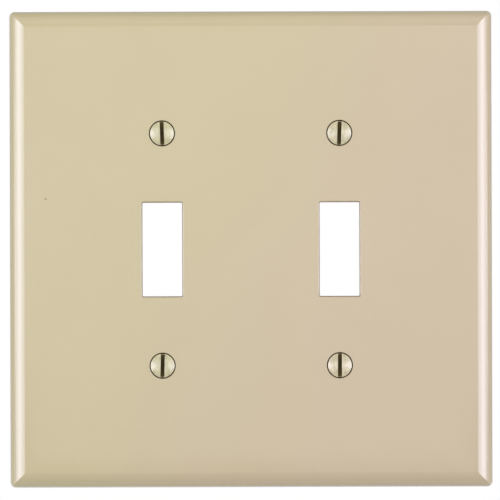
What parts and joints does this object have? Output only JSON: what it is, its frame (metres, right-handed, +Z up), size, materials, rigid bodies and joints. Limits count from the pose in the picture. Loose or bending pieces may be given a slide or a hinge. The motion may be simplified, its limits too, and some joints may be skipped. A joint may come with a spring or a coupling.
{
  "type": "toggle switch wall plate",
  "caption": "Square bevelled cover plate for toggle switches, with rectangular lever openings and slotted oval-head screws in countersunk holes.",
  "frame": {"origin": "centre of the plate on the wall plane", "axes": "+Z up, +X to the right seen from the front, +Y into the wall; the front faces -Y"},
  "size_m": [0.1254, 0.0136, 0.1238],
  "materials": {
    "ivory_plastic": "gloss moulded thermoset",
    "enamelled_screw": "ivory enamel on a zinc-plated steel screw"
  },
  "bodies": {
    "plate": {"wall_plate": "ivory_plastic"},
    "screw_upper_left": {"screw_upper_left": "enamelled_screw"},
    "screw_upper_right": {"screw_upper_right": "enamelled_screw"},
    "screw_lower_left": {"screw_lower_left": "enamelled_screw"},
    "screw_lower_right": {"screw_lower_right": "enamelled_screw"}
  },
  "joints": [
    {"name": "screw_upper_left_turn", "type": "hinge", "parent": "plate", "child": "screw_upper_left", "pos_m": [-0.02302, 0, 0.03016], "axis": [0, 1, 0], "continuous": true},
    {"name": "screw_upper_right_turn", "type": "hinge", "parent": "plate", "child": "screw_upper_right", "pos_m": [0.02302, 0, 0.03016], "axis": [0, 1, 0], "continuous": true},
    {"name": "screw_lower_left_turn", "type": "hinge", "parent": "plate", "child": "screw_lower_left", "pos_m": [-0.02302, 0, -0.03016], "axis": [0, 1, 0], "continuous": true},
    {"name": "screw_lower_right_turn", "type": "hinge", "parent": "plate", "child": "screw_lower_right", "pos_m": [0.02302, 0, -0.03016], "axis": [0, 1, 0], "continuous": true}
  ]
}
